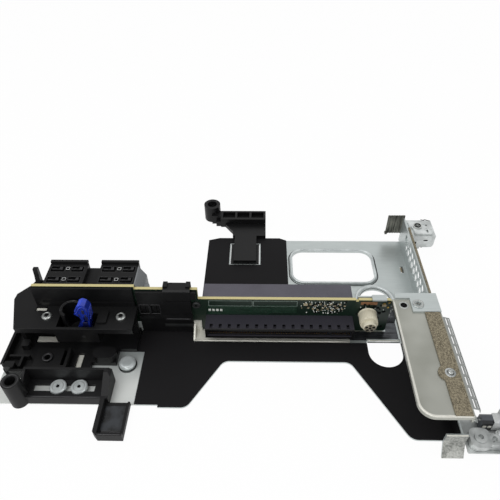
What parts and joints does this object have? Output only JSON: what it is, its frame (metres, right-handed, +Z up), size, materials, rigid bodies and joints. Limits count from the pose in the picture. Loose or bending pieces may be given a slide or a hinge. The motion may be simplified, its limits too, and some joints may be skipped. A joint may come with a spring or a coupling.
{
  "type": "server riser",
  "caption": "Sheet-steel riser cage with an upright board, opposed card slots, a moulded latch guide with a blue lever, a sliding tray and swinging card retainers.",
  "frame": {"origin": "on the cover plate's underside, below the wall end of the front card slot and in line with the riser board's front face", "axes": "+X along the board towards the perforated slot wall, +Y towards the rear card space, +Z up from the plate"},
  "size_m": [0.278, 0.2012, 0.0417],
  "materials": {
    "zinc_steel": "satin zinc-plated sheet",
    "grey_paint": "matte grey coating",
    "bright_steel": "nickel-plated",
    "black_film": "matte insulating film",
    "gasket_cloth": "conductive cloth over foam",
    "board_laminate": "solder-masked fibreglass",
    "slot_plastic": "moulded thermoplastic",
    "contact_metal": "gold-plated",
    "black_plastic": "moulded, fine texture",
    "dark_plastic": "moulded, satin",
    "grey_plastic": "moulded, satin",
    "blue_plastic": "moulded, satin gloss",
    "cream_plastic": "moulded nylon"
  },
  "bodies": {
    "riser": {"cover_plate": "zinc_steel", "rear_film": "black_film", "front_film": "black_film", "front_flange": "grey_paint", "front_gasket": "gasket_cloth", "flange_rivet": "bright_steel", "rear_gasket": "gasket_cloth", "spring_strip": "bright_steel", "riser_board": "board_laminate", "front_slot": "slot_plastic", "rear_slot": "slot_plastic", "front_contacts": "contact_metal", "rear_contacts": "contact_metal", "board_bracket": "bright_steel", "board_post": "zinc_steel", "mating_block_left": "black_plastic", "mating_block_right": "black_plastic", "block_spacer": "dark_plastic", "block_side_plate": "grey_plastic", "board_clip": "black_plastic", "board_cover": "dark_plastic", "board_screw": "bright_steel", "board_parts": "cream_plastic", "board_shield": "black_plastic", "upper_moulding": "black_plastic", "lever_pin": "bright_steel", "lower_moulding": "black_plastic", "shelf_screws": "bright_steel", "tray_screws": "bright_steel", "plate_stud": "bright_steel", "rear_arm": "black_plastic", "rear_end_clip": "bright_steel", "rear_ledge": "bright_steel", "rear_rivet": "bright_steel", "front_ledge": "bright_steel", "front_rivet": "bright_steel", "spring_block": "black_plastic", "spring_wire": "bright_steel", "front_catch": "grey_plastic"},
    "lever": {"release_lever": "blue_plastic"},
    "thumbscrew": {"thumbscrew_knob": "cream_plastic", "thumbscrew_shank": "bright_steel"},
    "tray": {"slide_tray": "dark_plastic"},
    "rear_swing_plate": {"rear_retainer": "bright_steel"},
    "front_swing_arm": {"front_retainer": "bright_steel"}
  },
  "joints": [
    {"name": "lever_swing", "type": "hinge", "parent": "riser", "child": "lever", "pos_m": [-0.1588, -0.0134, 0.018], "axis": [0, 1, 0], "range_deg": [0, 14], "stiffness_Nm_per_rad": 0.02, "springref_deg": -5.73},
    {"name": "thumbscrew_turn", "type": "hinge", "parent": "riser", "child": "thumbscrew", "pos_m": [0.0084, -0.005, 0.019], "axis": [0, 1, 0], "continuous": true},
    {"name": "tray_slide", "type": "slide", "parent": "riser", "child": "tray", "axis": [1, 0, 0], "range_m": [-0.006, 0.011]},
    {"name": "rear_retainer_swing", "type": "hinge", "parent": "riser", "child": "rear_swing_plate", "pos_m": [0.0548, 0.0776, 0.0218], "axis": [0, 0, 1], "range_deg": [0, 75]},
    {"name": "front_retainer_swing", "type": "hinge", "parent": "riser", "child": "front_swing_arm", "pos_m": [0.0546, -0.076, 0.0112], "axis": [0, 0, 1], "range_deg": [-70, 0]}
  ]
}
